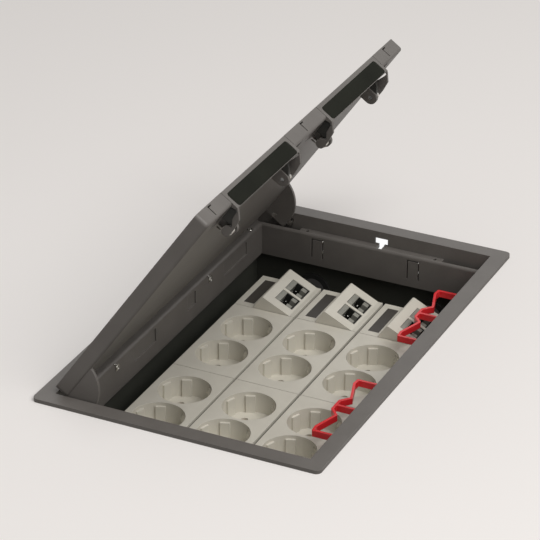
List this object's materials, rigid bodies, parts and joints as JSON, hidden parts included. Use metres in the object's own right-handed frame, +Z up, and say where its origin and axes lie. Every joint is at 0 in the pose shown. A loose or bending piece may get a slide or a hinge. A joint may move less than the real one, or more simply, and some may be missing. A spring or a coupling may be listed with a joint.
{
  "type": "floor socket box",
  "caption": "Floor box with a guided hinged lid, sprung cable flaps, and three strips of earthed socket modules and data ports in a sunken frame.",
  "frame": {"origin": "Centre of the tub's flat bottom.", "axes": "+Z up, +Y along the socket strips towards the data ports, +X across the strips towards the free side of the lid."},
  "size_m": [0.2294, 0.361, 0.2639],
  "materials": {
    "frame_grey": "fine satin moulded plastic, warm grey",
    "tub_black": "black powder-coated sheet steel",
    "zinc_steel": "zinc plated sheet",
    "plate_beige": "light warm grey plastic, satin",
    "block_black": "black insulating plastic",
    "bright_steel": "bright steel",
    "brass": "plain brass",
    "window_dark": "dark clear window",
    "jack_grey": "grey plastic jack",
    "gilt_wire": "gilt contact wire",
    "rubber_black": "black rubber",
    "clip_red": "bright red plastic",
    "foam_dark": "dark closed-cell foam"
  },
  "bodies": {
    "box": {"cable_clip_far": "clip_red", "cable_clip_near": "clip_red", "carrier_1": "zinc_steel", "carrier_2": "zinc_steel", "carrier_3": "zinc_steel", "conduit_grommets": "rubber_black", "contact_block_1": "block_black", "contact_block_2": "block_black", "contact_block_3": "block_black", "contact_block_4": "block_black", "contact_block_5": "block_black", "contact_block_6": "block_black", "data_jack_1_far": "jack_grey", "data_jack_1_near": "jack_grey", "data_jack_2_far": "jack_grey", "data_jack_2_near": "jack_grey", "data_jack_3_far": "jack_grey", "data_jack_3_near": "jack_grey", "data_plate_1": "plate_beige", "data_plate_2": "plate_beige", "data_plate_3": "plate_beige", "earth_clips_1": "bright_steel", "earth_clips_2": "bright_steel", "earth_clips_3": "bright_steel", "earth_terminal": "brass", "frame": "frame_grey", "frame_screws": "bright_steel", "jack_contacts_1": "gilt_wire", "jack_contacts_2": "gilt_wire", "jack_contacts_3": "gilt_wire", "label_window_1": "window_dark", "label_window_2": "window_dark", "label_window_3": "window_dark", "line_contacts_1": "brass", "line_contacts_2": "brass", "line_contacts_3": "brass", "rail_far": "zinc_steel", "rail_near": "zinc_steel", "socket_plate_1": "plate_beige", "socket_plate_2": "plate_beige", "socket_plate_3": "plate_beige", "socket_plate_4": "plate_beige", "socket_plate_5": "plate_beige", "socket_plate_6": "plate_beige", "tub": "tub_black", "wall_spring_clips": "bright_steel"},
    "lid": {"lid_shell": "frame_grey", "lid_tray_plate": "zinc_steel", "guide_studs": "bright_steel", "flap_pins": "bright_steel", "flap_springs_near": "bright_steel", "flap_springs_far": "bright_steel"},
    "flap_near": {"cable_flap_near": "frame_grey", "flap_foam_near": "foam_dark"},
    "flap_far": {"cable_flap_far": "frame_grey", "flap_foam_far": "foam_dark"}
  },
  "joints": [
    {"name": "lid_hinge", "type": "hinge", "parent": "box", "child": "lid", "pos_m": [-0.1067, 0, 0.0944], "axis": [0, -1, 0], "range_deg": [-55, 0]},
    {"name": "flap_near_hinge", "type": "hinge", "parent": "lid", "child": "flap_near", "pos_m": [0.01733, -0.078, 0.23388], "axis": [0, -1, 0], "range_deg": [0, 18], "stiffness_Nm_per_rad": 0.3, "springref_deg": -17.19},
    {"name": "flap_far_hinge", "type": "hinge", "parent": "lid", "child": "flap_far", "pos_m": [0.01733, 0.078, 0.23388], "axis": [0, -1, 0], "range_deg": [0, 18], "stiffness_Nm_per_rad": 0.3, "springref_deg": -17.19}
  ]
}
